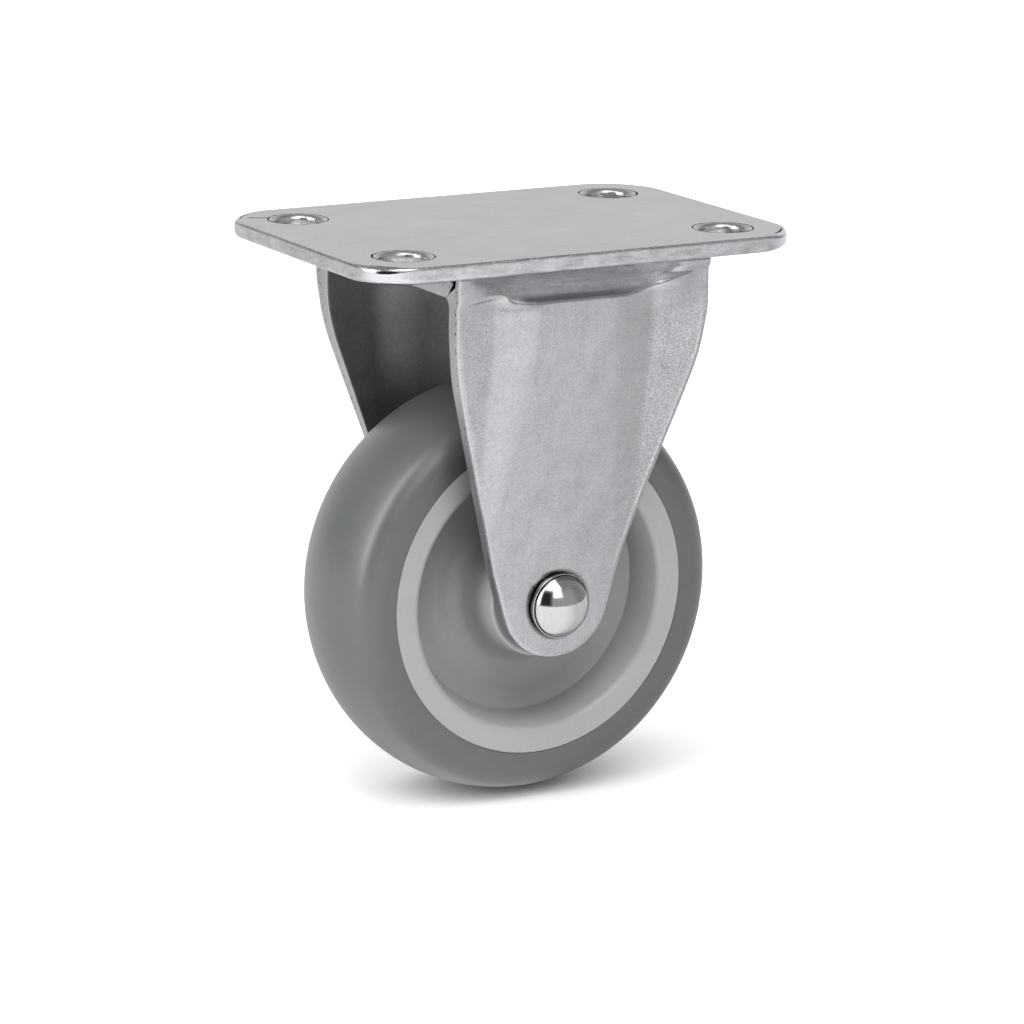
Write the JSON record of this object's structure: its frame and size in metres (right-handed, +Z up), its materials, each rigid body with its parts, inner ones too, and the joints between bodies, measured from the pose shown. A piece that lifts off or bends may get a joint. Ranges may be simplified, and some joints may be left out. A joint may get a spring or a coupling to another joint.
{
  "type": "rigid plate caster",
  "caption": "Rigid caster: a soft-tread wheel turning between the legs of a pressed steel fork welded under a rectangular bolt-on plate.",
  "frame": {"origin": "centre of the top plate's upper face, in the middle of its four bolt holes", "axes": "+Z up, out of the plate towards what the caster is bolted to; +X the rolling direction, along the plate's length; +Y along the axle, away from the domed rivet head"},
  "size_m": [0.0852, 0.0608, 0.1021],
  "materials": {
    "plate_steel": "zinc plated, satin, faintly brushed along its length",
    "fork_steel": "zinc plated, satin",
    "rivet_steel": "polished",
    "inner_steel": "zinc plated",
    "hub_plastic": "pale grey moulded nylon, satin",
    "bush_plastic": "natural acetal",
    "tread_rubber": "grey thermoplastic rubber, matt"
  },
  "bodies": {
    "frame": {"top_plate": "plate_steel", "fork": "fork_steel", "axle_rivet": "rivet_steel", "axle_sleeve": "inner_steel", "washer_front": "inner_steel", "washer_back": "inner_steel"},
    "wheel": {"hub_core": "hub_plastic", "tread": "tread_rubber", "bush_front": "bush_plastic", "bush_back": "bush_plastic"}
  },
  "joints": [
    {"name": "wheel_spin", "type": "hinge", "parent": "frame", "child": "wheel", "pos_m": [0, 0, -0.0646], "axis": [0, 1, 0], "continuous": true}
  ]
}
